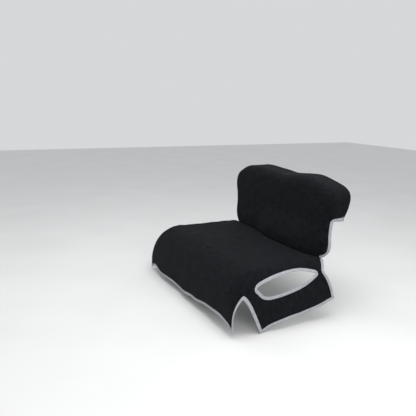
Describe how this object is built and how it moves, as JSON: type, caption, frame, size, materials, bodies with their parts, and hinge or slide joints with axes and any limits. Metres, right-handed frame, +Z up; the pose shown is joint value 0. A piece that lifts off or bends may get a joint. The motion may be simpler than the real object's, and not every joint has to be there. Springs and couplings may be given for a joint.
{
  "type": "towelling bench seat cover",
  "caption": "Terry towel cover for a two-person bench seat: hood over the backrest, seat panel, front skirt and slotted side flaps, edges bound with tape.",
  "frame": {"origin": "centre of the flat underside of the seat panel, where it lies on the seat", "axes": "+X towards the seat's left side, -Y towards the seat's front, +Z up"},
  "size_m": [1.1194, 0.7555, 0.7246],
  "materials": {
    "terry": "black cotton terry, looped and matt",
    "binding_tape": "light grey woven binding tape, matt"
  },
  "bodies": {
    "seat": {"seat_panel": "terry", "seat_front_roll": "terry", "left_seat_shoulder": "terry", "right_seat_shoulder": "terry", "left_slot_upper_binding": "binding_tape", "right_slot_upper_binding": "binding_tape", "left_notch_binding": "binding_tape", "right_notch_binding": "binding_tape", "left_seat_edge_binding": "binding_tape", "right_seat_edge_binding": "binding_tape"},
    "skirt": {"front_skirt": "terry", "front_skirt_binding": "binding_tape"},
    "left_flap": {"left_side_flap": "terry", "left_flap_binding": "binding_tape", "left_slot_lower_binding": "binding_tape"},
    "right_flap": {"right_side_flap": "terry", "right_flap_binding": "binding_tape", "right_slot_lower_binding": "binding_tape"},
    "hood": {"back_panel": "terry", "hood_rear_panel": "terry", "hood_rear_binding": "binding_tape", "left_back_edge_binding": "binding_tape", "right_back_edge_binding": "binding_tape", "left_hood_side_binding": "binding_tape", "right_hood_side_binding": "binding_tape"}
  },
  "joints": [
    {"name": "skirt_fold", "type": "hinge", "parent": "seat", "child": "skirt", "pos_m": [0, -0.344, -0.12415], "axis": [-1, 0, 0], "range_deg": [0, 80]},
    {"name": "left_flap_fold", "type": "hinge", "parent": "seat", "child": "left_flap", "pos_m": [0.563, -0.2894, -0.12415], "axis": [0.0278, -0.9863, -0.1627], "range_deg": [0, 85]},
    {"name": "right_flap_fold", "type": "hinge", "parent": "seat", "child": "right_flap", "pos_m": [-0.563, -0.2894, -0.12415], "axis": [0.0278, 0.9863, 0.1627], "range_deg": [0, 85]},
    {"name": "hood_fold", "type": "hinge", "parent": "seat", "child": "hood", "pos_m": [0, 0.252, 0.0052], "axis": [1, 0, 0], "range_deg": [0, 85]}
  ]
}
